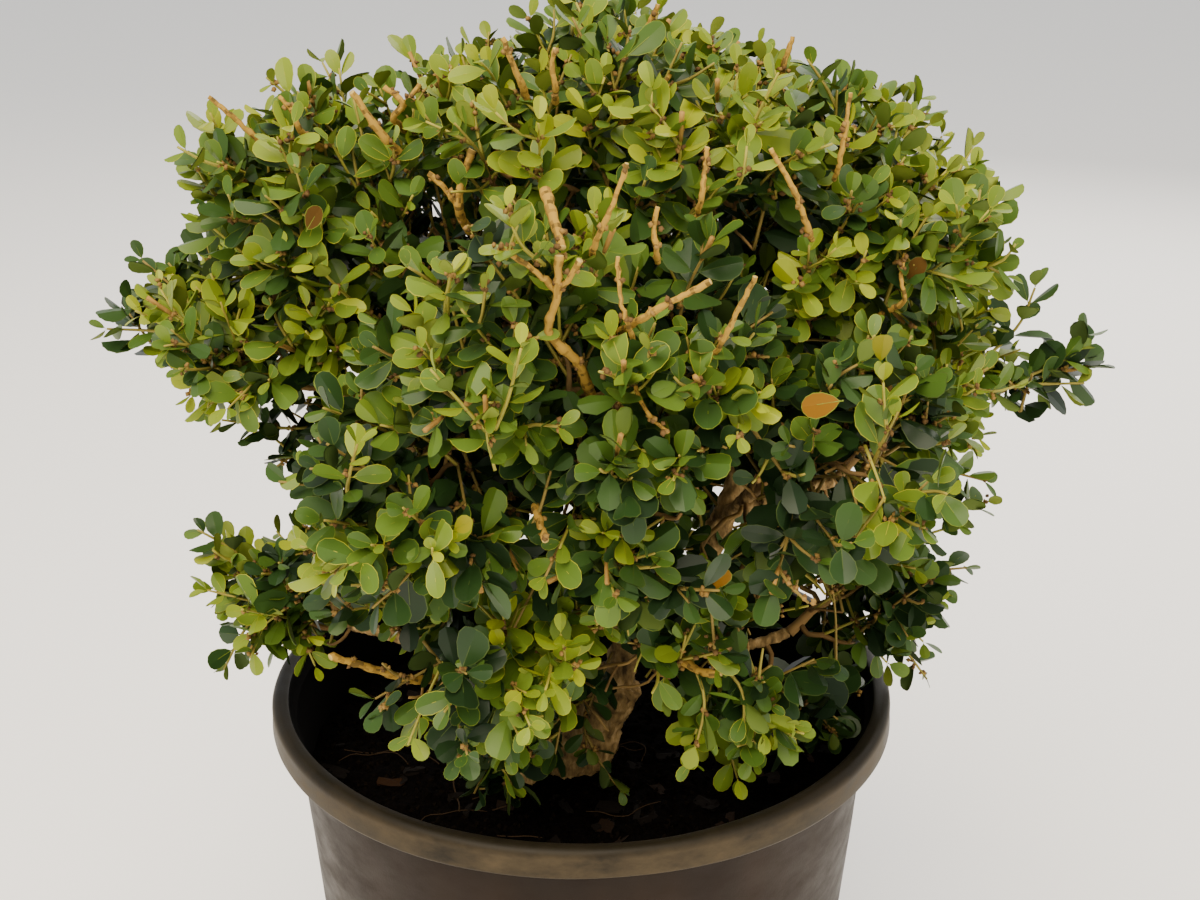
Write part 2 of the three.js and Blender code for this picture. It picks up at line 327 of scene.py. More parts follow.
# Damp compost: near-black fines with brown specks, almost without gloss.
damp_compost = plain_material("damp_potting_compost", "#0c0906", 1.0, 0.03)
tree = damp_compost.node_tree
shader = tree.nodes["Principled BSDF"]
place = add_node(tree, "ShaderNodeTexCoord").outputs["Object"]
SPECK = 2.5 * MM
specks = add_node(tree, "ShaderNodeTexNoise", {"Vector": place, "Scale": 1 / SPECK, "Detail": 5.0,
                                               "Roughness": 0.7})
fines = add_node(tree, "ShaderNodeValToRGB", {0: specks.outputs["Fac"]},
                 stops=((0.45, "#030202"), (0.78, "#100b07")))
tree.links.new(fines.outputs[0], shader.inputs["Base Color"])
relief = add_node(tree, "ShaderNodeBump", {"Height": specks.outputs["Fac"], "Strength": 0.6,
                                           "Distance": 1.2 * MM})
tree.links.new(relief.outputs[0], shader.inputs["Normal"])
compost.data.materials.append(damp_compost)
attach(compost, "root")
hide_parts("compost")


def unit(v):
    return v / max(np.linalg.norm(v), 1e-12)


def joined(name, vertices, faces, face_material, materials, smooth=True):
    """One mesh object from arrays: faces is a list of arrays, each with one face size."""
    mesh = bpy.data.meshes.new(name)
    loops = np.concatenate([block.ravel() for block in faces])
    sizes = np.concatenate([np.full(len(block), block.shape[1]) for block in faces])
    starts = np.concatenate([[0], np.cumsum(sizes)[:-1]])
    mesh.vertices.add(len(vertices))
    mesh.vertices.foreach_set("co", np.ascontiguousarray(vertices, np.float32).ravel())
    mesh.loops.add(len(loops))
    mesh.loops.foreach_set("vertex_index", loops.astype(np.int32))
    mesh.polygons.add(len(sizes))
    mesh.polygons.foreach_set("loop_start", starts.astype(np.int32))
    mesh.polygons.foreach_set("loop_total", sizes.astype(np.int32))
    for material in materials:
        mesh.materials.append(material)
    mesh.polygons.foreach_set("material_index", face_material.astype(np.int32))
    mesh.polygons.foreach_set("use_smooth", np.full(len(sizes), smooth))
    mesh.update(calc_edges=True)
    made = bpy.data.objects.new(name, mesh)
    bpy.context.scene.collection.objects.link(made)
    return made


def taken_apart(template):
    """The points and triangles of a modelled template, which is then removed."""
    points = np.array([v.co[:] for v in template.data.vertices])
    template.data.calc_loop_triangles()
    triangles = np.array([t.vertices[:] for t in template.data.loop_triangles])
    bpy.data.objects.remove(template)
    return points, triangles


LUMP_FACES = 10


def lump():
    """The points and triangles of one small closed lump, five-sided and pointed at both ends,
    for the crumbs here and the buds further down."""
    nothing_selected()
    bpy.ops.mesh.primitive_cone_add(vertices=5, radius1=1, depth=1, end_fill_type="NOTHING",
                                    location=(0, 0, 0.5))
    bpy.ops.object.transform_apply(location=True)
    bpy.ops.object.mode_set(mode="EDIT")
    bpy.ops.mesh.select_all(action="SELECT")
    bpy.ops.mesh.duplicate()
    bpy.ops.transform.resize(value=(1, 1, -1), center_override=(0, 0, 0))
    bpy.ops.mesh.select_all(action="SELECT")
    bpy.ops.mesh.remove_doubles(threshold=0.001)
    bpy.ops.mesh.normals_make_consistent(inside=False)
    bpy.ops.object.mode_set(mode="OBJECT")
    return taken_apart(bpy.context.object)


def turned_about(rng, count):
    """Random turns, as a stack of rotation matrices."""
    q = rng.normal(size=(count, 4))
    q /= np.linalg.norm(q, axis=1)[:, None]
    w, x, y, z = q.T
    return np.stack([
        np.stack([1 - 2 * (y * y + z * z), 2 * (x * y - z * w), 2 * (x * z + y * w)], 1),
        np.stack([2 * (x * y + z * w), 1 - 2 * (x * x + z * z), 2 * (y * z - x * w)], 1),
        np.stack([2 * (x * z - y * w), 2 * (y * z + x * w), 1 - 2 * (x * x + y * y)], 1)], 1)


def copies(points, triangles, turns, scales, places):
    """Many turned, stretched copies of one template as one block of points and triangles."""
    shaped = points[None] * scales[:, None, :]
    placed = np.einsum("nij,nkj->nki", turns, shaped) + places[:, None, :]
    offsets = (np.arange(len(places)) * len(points))[:, None, None]
    return placed.reshape(-1, 3), (triangles[None] + offsets).reshape(-1, 3)


def resampled(points, spacing):
    """A smooth curve through the points, with a point at each spacing."""
    points = np.asarray(points, float)
    padded = np.vstack([2 * points[0] - points[1], points, 2 * points[-1] - points[-2]])
    fine = []
    for a, b, c, d in zip(padded, padded[1:], padded[2:], padded[3:]):
        t = np.linspace(0, 1, 9)[:-1, None]
        fine.append(0.5 * (2 * b + (c - a) * t + (2 * a - 5 * b + 4 * c - d) * t ** 2
                           + (3 * b - a - 3 * c + d) * t ** 3))
    fine = np.vstack(fine + [points[-1:]])
    length = np.concatenate([[0], np.cumsum(np.linalg.norm(np.diff(fine, axis=0), axis=1))])
    count = max(2, int(round(length[-1] / spacing)) + 1)
    stations = np.linspace(0, length[-1], count)
    return np.stack([np.interp(stations, length, fine[:, k]) for k in range(3)], 1)


def tubes(lines, sides):
    """Round closed bars along many lines: each line is (points, radii)."""
    vertices, quads, caps, owner_quads, owner_caps = [], [], [], [], []
    offset = 0
    turn = np.arange(sides) * math.tau / sides
    ring = np.arange(sides)
    for owner, (points, radii) in enumerate(lines):
        ahead = np.gradient(points, axis=0)
        ahead /= np.maximum(np.linalg.norm(ahead, axis=1), 1e-12)[:, None]
        side = unit(np.cross(ahead[0], (0.31, 0.17, 0.94)))
        for k, tangent in enumerate(ahead):
            side = unit(side - tangent * side.dot(tangent))
            other = np.cross(tangent, side)
            around = np.cos(turn)[:, None] * side + np.sin(turn)[:, None] * other
            vertices.append(points[k] + around * radii[k])
        count = len(points)
        for k in range(count - 1):
            low, high = offset + k * sides, offset + (k + 1) * sides
            quads.append(np.stack([low + ring, low + (ring + 1) % sides, high + (ring + 1) % sides,
                                   high + ring], 1))
        owner_quads.append(np.full((count - 1) * sides, owner))
        caps.append(np.stack([offset + ring[::-1], offset + (count - 1) * sides + ring]))
        owner_caps.append(np.full(2, owner))
        offset += count * sides
    return (np.vstack(vertices), [np.vstack(quads), np.vstack(caps)],
            np.concatenate(owner_quads), np.concatenate(owner_caps))


compost_skin = BVHTree.FromObject(compost, bpy.context.evaluated_depsgraph_get())


def surface_height(x, y):
    """How high the compost stands at a place."""
    hit = compost_skin.ray_cast(Vector((x, y, compost_top + 50 * MM)), Vector((0, 0, -1)))[0]
    return hit.z if hit else compost_top


def on_compost(rng, count, margin):
    """Random places on the compost's surface, kept in from the pot's wall."""
    radius = (compost_radius - margin) * np.sqrt(rng.random(count))
    angle = rng.random(count) * math.tau
    across, deep = radius * np.cos(angle), radius * np.sin(angle)
    return np.array([(x, y, surface_height(x, y)) for x, y in zip(across, deep)])


# Crumbs: loose bits of peat and rotted bark, from 1 to 4 mm across.
chip_rng = np.random.default_rng(11)
crumb_points, crumb_triangles = lump()
CRUMBS = 2600
crumb_places = on_compost(chip_rng, CRUMBS, 3 * MM)
crumb_sizes = chip_rng.uniform(0.7, 2.0, (CRUMBS, 3)) * MM
crumb_points, crumb_triangles = copies(crumb_points, crumb_triangles, turned_about(chip_rng, CRUMBS),
                                       crumb_sizes, crumb_places)
crumbs = joined("compost_crumbs", crumb_points, [crumb_triangles],
                np.repeat(chip_rng.integers(0, 3, CRUMBS), LUMP_FACES),
                [plain_material("compost_crumb_dark", "#080604", 1.0, 0.03),
                 plain_material("compost_crumb_brown", "#0f0b07", 1.0, 0.03),
                 plain_material("compost_crumb_black", "#040302", 1.0, 0.03)], smooth=False)
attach(crumbs, "root")

# Bark chips: flat, ragged bits of composted bark that lie on the fines, a few of them paler.
nothing_selected()
bpy.ops.mesh.primitive_cube_add(size=1)
bpy.ops.object.mode_set(mode="EDIT")
bpy.ops.mesh.subdivide(number_cuts=1)
bpy.ops.transform.vertex_random(offset=0.28, seed=5)
bpy.ops.object.mode_set(mode="OBJECT")
chip_points, chip_triangles = taken_apart(bpy.context.object)
CHIPS = 90
chip_places = on_compost(chip_rng, CHIPS, 8 * MM)
turned_about(chip_rng, CHIPS)  # Not used: its draws keep the chips below as they were chosen.
chip_sizes = np.stack([chip_rng.uniform(4, 15, CHIPS), chip_rng.uniform(2.5, 7, CHIPS),
                       chip_rng.uniform(1, 2.6, CHIPS)], 1) * MM
yaw = chip_rng.random(CHIPS) * math.tau
tilt = chip_rng.normal(0, 0.3, CHIPS)
flat_turns = np.stack([
    np.stack([np.cos(yaw), -np.sin(yaw) * np.cos(tilt), np.sin(yaw) * np.sin(tilt)], 1),
    np.stack([np.sin(yaw), np.cos(yaw) * np.cos(tilt), -np.cos(yaw) * np.sin(tilt)], 1),
    np.stack([np.zeros(CHIPS), np.sin(tilt), np.cos(tilt)], 1)], 1)
chip_faces = len(chip_triangles)
chip_points, chip_triangles = copies(chip_points, chip_triangles, flat_turns, chip_sizes, chip_places)
chips = joined("compost_bark_chips", chip_points, [chip_triangles],
               np.repeat(chip_rng.choice(3, CHIPS, p=[0.6, 0.33, 0.07]), chip_faces),
               [plain_material("composted_bark_dark", "#0c0805", 0.9, 0.1),
                plain_material("composted_bark_brown", "#1a110a", 0.9, 0.1),
                plain_material("composted_bark_pale", "#24160a", 0.9, 0.08)], smooth=False)
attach(chips, "root")

# Fine dried roots and straws lie on the compost, thin as thread.
root_rng = np.random.default_rng(17)
ROOTS = 34
ROOT_STEP = 7 * MM
root_lines = []
for start in on_compost(root_rng, ROOTS, 22 * MM):
    heading = root_rng.random() * math.tau
    points = [start + (0, 0, 0.6 * MM)]
    for _ in range(root_rng.integers(3, 7)):
        heading += root_rng.normal(0, 0.5)
        x, y = points[-1][:2] + np.array([math.cos(heading), math.sin(heading)]) * ROOT_STEP
        if math.hypot(x, y) > compost_radius - 6 * MM:
            break
        below = surface_height(x, y)
        points.append(np.array([x, y, below + root_rng.uniform(0.2, 2.4) * MM]))
    if len(points) > 2:
        path = resampled(points, 3 * MM)
        root_lines.append((path, np.full(len(path), root_rng.uniform(0.22, 0.42) * MM)))
root_points, root_faces, _, _ = tubes(root_lines, 4)
fine_roots = joined("fine_dried_roots", root_points, root_faces, np.zeros(sum(len(f) for f in root_faces)),
                    [plain_material("dried_root_skin", "#33271a", 0.9, 0.1)])
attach(fine_roots, "root")


# ------------------------------------------------------------------------------------------
# Trunk and boughs. Old box wood: hard, slow-grown and crooked, under thin grey-brown bark that
# is corky and cracked into small plates. One skin, grown together at the forks.

def limb_line(node, stations=9):
    """The middle line and thickness of a limb's solid, from slices square to its length."""
    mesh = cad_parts[node].data
    points = np.array([v.co[:] for v in mesh.vertices])
    edges = np.array([e.vertices[:] for e in mesh.edges])
    centre = points.mean(0)
    axis = np.linalg.svd(points - centre, full_matrices=False)[2][0]
    axis *= math.copysign(1, axis[2])
    along = (points - centre) @ axis
    line, thickness = [], []
    for level in np.linspace(along.min(), along.max(), stations + 2)[1:-1]:
        a, b = along[edges[:, 0]], along[edges[:, 1]]
        cut = (a - level) * (b - level) < 0
        share = ((level - a[cut]) / (b[cut] - a[cut]))[:, None]
        section = points[edges[cut, 0]] * (1 - share) + points[edges[cut, 1]] * share
        middle = section.mean(0)
        line.append(middle)
        thickness.append(np.median(np.linalg.norm(section - middle, axis=1)))
    return np.array(line), np.array(thickness)


wood_rng = np.random.default_rng(5)
LIMB_STEP = 4 * MM
trunk_line, trunk_thickness = limb_line("trunk")
compost_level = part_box("trunk")[0].z
below = trunk_line[0] - np.array([0.0, 0.0, 9 * MM])
trunk_line = np.vstack([below, trunk_line])
trunk_thickness = np.concatenate([[trunk_thickness[0] + 2 * MM], trunk_thickness])
limbs = [("trunk", trunk_line, trunk_thickness)]
bough_names = [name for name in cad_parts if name.startswith("bough_")]
measured = {name: limb_line(name) for name in bough_names}
for name in sorted(bough_names, key=lambda n: (-round(measured[n][1][0] / MM), n)):
    line, thickness = measured[name]
    earlier = np.vstack([resampled(points, LIMB_STEP) for _, points, _ in limbs])
    fork = earlier[np.argmin(np.linalg.norm(earlier - line[0], axis=1))]
    line = np.vstack([fork, line])
    thickness = np.concatenate([thickness[:1], thickness])
    limbs.append((name, line, thickness))

wood_lines = []
growing_points = []
for name, line, thickness in limbs:
    smooth = resampled(line, LIMB_STEP)
    radii = np.interp(np.linspace(0, 1, len(smooth)), np.linspace(0, 1, len(thickness)), thickness)
    wander = wood_rng.normal(0, 1, (len(smooth), 3))
    wander = np.stack([np.convolve(wander[:, k], np.ones(5) / 5, "same") for k in range(3)], 1)
    smooth = smooth + wander * 1.1 * MM * np.linspace(0, 1, len(smooth))[:, None]
    knots = 1 + 0.06 * np.convolve(wood_rng.normal(0, 1, len(smooth)), np.ones(3) / 2, "same")
    wood_lines.append((smooth, radii * knots))
    if name != "trunk":
        growing_points.append(smooth[len(smooth) // 4:])

# The roots swell out of the trunk's foot where it goes into the compost.
foot = np.array([trunk_line[1][0], trunk_line[1][1], compost_level])
SURFACE_ROOTS = 6
for k in range(SURFACE_ROOTS):
    angle = k * math.tau / SURFACE_ROOTS + wood_rng.uniform(-0.3, 0.3)
    out = np.array([math.cos(angle), math.sin(angle), 0])
    reach = wood_rng.uniform(19, 25) * MM
    root = np.array([foot + out * 8 * MM + (0, 0, 16 * MM), foot + out * 15 * MM + (0, 0, 6 * MM),
                     foot + out * reach - (0, 0, 1 * MM), foot + out * (reach + 7 * MM) - (0, 0, 8 * MM)])
    root = resampled(root, LIMB_STEP)
    wood_lines.append((root, np.linspace(8, 4.5, len(root)) * MM))

wood_points, wood_faces, _, _ = tubes(wood_lines, 14)
wood_face_count = sum(len(block) for block in wood_faces)
trunk = joined("trunk_and_boughs", wood_points, wood_faces, np.zeros(wood_face_count), [])
nothing_selected()
trunk.select_set(True)
bpy.context.view_layer.objects.active = trunk
fuse = trunk.modifiers.new("fuse", "REMESH")
fuse.mode = "VOXEL"
fuse.voxel_size = 1.0 * MM
soften = trunk.modifiers.new("soften", "SMOOTH")
soften.factor = 0.6
soften.iterations = 4
for name, kind, size, height in (("plates", "VORONOI", 5.0 * MM, 1.8 * MM),
                                 ("cracks", "CLOUDS", 2.4 * MM, 1.3 * MM)):
    texture = bpy.data.textures.new("bark_" + name, kind)
    texture.noise_scale = size
    bark = trunk.modifiers.new(name, "DISPLACE")
    bark.texture = texture
    bark.texture_coords = "LOCAL"
    bark.strength = height
    bark.mid_level = 0.5
for name in ("fuse", "soften", "plates", "cracks"):
    bpy.ops.object.modifier_apply(modifier=name)
bpy.ops.object.shade_smooth()

# Box bark: thin grey-brown cork, ochre where a plate has flaked off, darker in the cracks.
box_bark = plain_material("corky_box_bark", "#7d664a", 0.85, 0.3)
tree = box_bark.node_tree
shader = tree.nodes["Principled BSDF"]
place = add_node(tree, "ShaderNodeTexCoord").outputs["Object"]
PLATE = 4.5 * MM
drawn_out = add_node(tree, "ShaderNodeMapping", {"Vector": place, "Scale": (1.0, 1.0, 0.45)})
plates = add_node(tree, "ShaderNodeTexNoise", {"Vector": drawn_out.outputs[0], "Scale": 1 / PLATE,
                                               "Detail": 5.0, "Roughness": 0.6})
bark_colour = add_node(tree, "ShaderNodeValToRGB", {0: plates.outputs["Fac"]},
                       stops=((0.32, "#46371f"), (0.52, "#927748"), (0.72, "#ccad77")))
tree.links.new(bark_colour.outputs[0], shader.inputs["Base Color"])
relief = add_node(tree, "ShaderNodeBump", {"Height": plates.outputs["Fac"], "Strength": 0.9,
                                           "Distance": 1.4 * MM})
tree.links.new(relief.outputs[0], shader.inputs["Normal"])
trunk.data.materials.append(box_bark)
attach(trunk, "root")
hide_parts("trunk", *bough_names)


# ------------------------------------------------------------------------------------------
# Growth. Each shoot of the bush aims for a spot just under the outside of a mass of foliage.
# Branches grow from the boughs towards those spots a step at a time, each step pulled by the
# spots that are nearest to it, until every shoot has a twig to stand on.

growth_rng = np.random.default_rng(29)
mass_names = sorted(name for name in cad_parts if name.startswith("foliage_"))
mass_skins = {}
for name in mass_names:
    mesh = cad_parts[name].data
    mass_skins[name] = BVHTree.FromPolygons([v.co[:] for v in mesh.vertices],
                                            [p.vertices[:] for p in mesh.polygons])


def inside(name, point):
    """Whether a point lies in a mass of foliage."""
    near, normal, _, _ = mass_skins[name].find_nearest(Vector(point))
    return (Vector(point) - near).dot(normal) < 0


mass_boxes = {name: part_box(name) for name in mass_names}


def in_other_mass(own, point):
    """Whether a point just outside one mass of foliage lies in another."""
    for name in mass_names:
        low, high = mass_boxes[name]
        near = all(low[k] < point[k] < high[k] for k in range(3))
        if name != own and near and inside(name, point):
            return True
    return False


# Places where the crown is open and the wood inside shows: each is a point on the wood, in mm,
# and the half-width of the gap in front of it.
GAPS = [
    ((72, -20, 379), 7), ((-56, -60, 525), 9),
    ((-160, -40, 407), 10), ((-152, -40, 393), 10), ((-136, -40, 386), 6),
    ((22, -25, 289), 12), ((14, -22, 268), 13), ((8, -18, 249), 12),
    ((90, -30, 307), 8), ((109, -20, 313), 9), ((131, -5, 317), 8),
    ((110, -20, 386), 5), ((128, -20, 393), 5), ((147, -20, 402), 4),
    ((-7, -164, 520), 8), ((-10, -160, 503), 7), ((0, -150, 487), 6),
    ((31, -164, 514), 6), ((55, -158, 508), 6), ((45, -106, 342), 6),
    ((-71, -88, 326), 6), ((-87, -95, 335), 7), ((-103, -102, 343), 6)]
# And places where one sees right through the crown.
SIGHTS = [((65, -20, 383), 5), ((82, -20, 386), 3), ((112, -10, 326), 6), ((-57, -60, 523), 2.5)]
eye = np.array(camera.location)
gap_ways = np.array([point for point, _ in GAPS + SIGHTS]) * MM - eye
gap_depths = np.linalg.norm(gap_ways, axis=1)
gap_ways /= gap_depths[:, None]
gap_depths[len(GAPS):] = np.inf
gap_widths = np.array([width for _, width in GAPS + SIGHTS]) * MM


def in_gap(point, slack=0.0):
    """Whether a point stands in front of the wood in one of the gaps."""
    along = gap_ways @ (point - eye)
    aside = np.linalg.norm((point - eye)[None] - gap_ways * along[:, None], axis=1)
    return bool(np.any((along < gap_depths + 3 * MM) & (aside < gap_widths + slack)))


# Shoots are dealt out at random over the outside of each mass, no two closer than a spacing.
# The more a face looks outwards, the likelier it is to have one; few grow on an underside.
SHOOT_SPACING = 19 * MM
centre = np.array(crown_centre)
shoots = []
taken = np.zeros((0, 3))
for name in mass_names:
    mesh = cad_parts[name].data
    corners = np.array([[mesh.vertices[i].co[:] for i in p.vertices] for p in mesh.polygons])
    across = np.cross(corners[:, 1] - corners[:, 0], corners[:, 2] - corners[:, 0])
    area = np.linalg.norm(across, axis=1) / 2
    tries = int(area.sum() / SHOOT_SPACING ** 2 * 4)
    picks = growth_rng.choice(len(area), tries, p=area / area.sum())
    u, v = growth_rng.random((2, tries, 1))
    flip = (u + v) > 1
    u, v = np.where(flip, 1 - u, u), np.where(flip, 1 - v, v)
    spots = corners[picks, 0] + u * (corners[picks, 1] - corners[picks, 0]) + v * (
        corners[picks, 2] - corners[picks, 0])
    normals = across[picks] / (2 * area[picks])[:, None]
    chance = growth_rng.random(tries)
    for spot, normal, luck in zip(spots, normals, chance):
        outward = unit(spot - centre)
        facing = float(normal.dot(outward))
        wanted = min(1.0, max(0.12, 0.5 + 1.1 * facing))
        if normal[2] < -0.5:
            wanted *= 0.7
        if luck > wanted:
            continue
        if len(taken) and np.min(np.linalg.norm(taken - spot, axis=1)) < SHOOT_SPACING:
            continue
        if in_other_mass(name, spot + normal * 7 * MM) or in_gap(spot):
            continue
        taken = np.vstack([taken, spot])
        shoots.append({"mass": name, "tip": spot, "normal": normal, "outward": outward, "facing": facing})

# Deeper in the crown, shaded shoots fill the room between the boughs.
INNER_SPACING = 25 * MM
INNER_DEPTH = 24 * MM
for name in mass_names:
    low, high = (np.array(corner) for corner in mass_boxes[name])
    for spot in growth_rng.uniform(low, high, (int(np.prod(high - low) / INNER_SPACING ** 3 * 5), 3)):
        depth = (Vector(spot) - mass_skins[name].find_nearest(Vector(spot))[0]).length
        if not inside(name, spot) or depth < INNER_DEPTH * growth_rng.uniform(0.6, 1.0):
            continue
        if in_gap(spot, 4 * MM):
            continue
        if np.min(np.linalg.norm(taken - spot, axis=1)) < INNER_SPACING:
            continue
        taken = np.vstack([taken, spot])
        outward = unit(spot - centre)
        shoots.append({"mass": name, "tip": spot, "normal": outward, "outward": outward, "facing": -1.0})

# And where the room between the masses would leave a hole, a shoot of its own, in mm.
FILLING = [
    (79, 20, 342, "low_back_right"), (75, -10, 356, "low_right"), (-12, 0, 376, "middle"),
    (-11, -40, 393, "middle"), (-60, 0, 510, "upper_left"), (-63, 10, 514, "upper_left"),
    (128, 20, 370, "right"), (108, 20, 358, "right"), (134, 20, 300, "lobe_right"),
    (179, 30, 363, "lobe_right"), (152, 30, 377, "right"), (139, 30, 369, "right"),
    (197, 20, 446, "tip_right"), (-140, 0, 415, "left"), (-126, 0, 419, "left"), (5, -20, 384, "middle")]
for *spot, name in FILLING:
    spot = np.array(spot) * MM
    outward = unit(spot - centre)
    shoots.append({"mass": "foliage_" + name, "tip": spot, "normal": outward, "outward": outward,
                   "facing": -1.0})

# How far, in mm, the shears have taken the shoots of a mass back inside its outline.
TAKEN_BACK = {"foliage_tip_left": 8, "foliage_tip_right": 8, "foliage_tip_top": 8, "foliage_left": 7,
              "foliage_upper_left": 7, "foliage_upper_right": 5, "foliage_lobe_left": 3}
# A shoot turns up to the light, or hangs where it is part of the fringe over the compost.
for shoot in shoots:
    up = 0.5 if shoot["normal"][2] > -0.25 else 0.0
    if shoot["mass"].startswith("foliage_fringe"):
        up = -0.6
    heading = (shoot["normal"] * 0.6 + shoot["outward"] * 0.35 + np.array([0, 0, up])
               + growth_rng.normal(0, 0.22, 3))
    shoot["heading"] = unit(heading)
    shoot["length"] = growth_rng.uniform(34, 60) * MM
    if shoot["mass"].startswith(("foliage_tip", "foliage_fringe", "foliage_inside")):
        shoot["length"] *= 0.75
    if shoot["facing"] > 0:
        shoot["tip"] = shoot["tip"] + shoot["heading"] * growth_rng.uniform(-8, 7) * MM
    shoot["tip"] = shoot["tip"] - shoot["outward"] * TAKEN_BACK.get(shoot["mass"], 0) * MM
    shoot["base"] = shoot["tip"] - shoot["heading"] * shoot["length"]

STEP = 7 * MM
NEAR_ENOUGH = 9 * MM
MOST_STEPS = 120
wood_nodes = [np.array(p) for points in growing_points for p in points]
wood_parents = [-1] * len(wood_nodes)
waiting = list(range(len(shoots)))
for _ in range(MOST_STEPS):
    tree_of_nodes = kdtree.KDTree(len(wood_nodes))
    for index, point in enumerate(wood_nodes):
        tree_of_nodes.insert(point, index)
    tree_of_nodes.balance()
    pulls = {}
    still_waiting = []
    for index in waiting:
        _, nearest, distance = tree_of_nodes.find(shoots[index]["base"])
        if distance < NEAR_ENOUGH:
            shoots[index]["node"] = nearest
        else:
            pulls.setdefault(nearest, []).append(index)
            still_waiting.append(index)
    waiting = still_waiting
    if not waiting:
        break
    for nearest, pulled in pulls.items():
        pull = sum(unit(shoots[index]["base"] - wood_nodes[nearest]) for index in pulled)
        crook = growth_rng.normal(0, 0.24, 3)
        wood_nodes.append(wood_nodes[nearest] + unit(unit(pull) + crook) * STEP)
        wood_parents.append(nearest)
shoots = [shoot for shoot in shoots if "node" in shoot]

# Each branch is as thick as the shoots that it carries need. Past THICK it counts as a branch.
TWIG_TIP = 0.62 * MM
THICK = 1.7 * MM
load = np.zeros(len(wood_nodes))
for shoot in shoots:
    load[shoot["node"]] += 1
for index in range(len(wood_nodes) - 1, -1, -1):
    if wood_parents[index] >= 0:
        load[wood_parents[index]] += load[index]
children = {}
for index, parent in enumerate(wood_parents):
    if parent >= 0 and load[index] > 0:
        children.setdefault(parent, []).append(index)
thickness = TWIG_TIP * np.maximum(load, 1) ** 0.42
started = [(parent, child) for parent, group in children.items() for child in group
           if wood_parents[parent] < 0 or child != max(group, key=lambda c: load[c])]
branch_lines, twig_lines = [], []
for parent, child in started:
    line = [parent, child]
    while line[-1] in children:
        line.append(max(children[line[-1]], key=lambda c: load[c]))
    points = np.array([wood_nodes[index] for index in line])
    radii = thickness[line]
    radii[0] = radii[1] * 1.15
    smooth = resampled(points, 3.5 * MM)
    radii = np.interp(np.linspace(0, 1, len(smooth)), np.linspace(0, 1, len(radii)), radii)
    (branch_lines if radii[0] > THICK else twig_lines).append((smooth, radii))


# ------------------------------------------------------------------------------------------
# Shoots. A box shoot is a thin square stem with its leaves in opposite pairs, each pair at a
# right angle to the one below, short side shoots from some of the leaf axils, and small buds.

PAIR_SPACING = 8.0 * MM
# Shares: of the leaf pairs that a shaded shoot has lost, of a clipped shoot's last leaves that
# are cut through, of the pairs with a side shoot in their axils, and of those with buds there.
PAIRS_LOST = 0.25
LEAVES_CUT = 0.4
WITH_SIDE_SHOOT = 0.5
WITH_BUDS = 0.36
stem_lines, stem_tints = [], []
leaves_to_make = []
bud_places = []
stub_lines = []
light_from = unit(np.array([-0.15, -0.45, 1.0]))


def square_to(axis, hint):
    """The direction square to an axis that is nearest to the hint."""
    return unit(hint - axis * hint.dot(axis))


def add_leaf(place, axis, facing_up, length, width, mass, age, kind, dying=None):
    """Notes a leaf to be made, unless it would hide the wood in a gap or stand in the pot's rim."""
    tip = place + axis * length
    in_rim = tip[2] < rim_height + 1 * MM and mouth - 2 * MM < math.hypot(*tip[:2]) < rim_radius + 1 * MM
    hides_wood = in_gap(place + axis * length * 0.35, 2 * MM) or in_gap(place + axis * length * 0.9, 2 * MM)
    placed_by_hand = mass in ("front_sprays", "foliage_fringe_middle")
    if not in_rim and (placed_by_hand or not hides_wood):
        leaves_to_make.append({"place": place, "ahead": axis, "up": facing_up, "length": length,
                               "width": width, "mass": mass, "age": age, "kind": kind, "dying": dying})


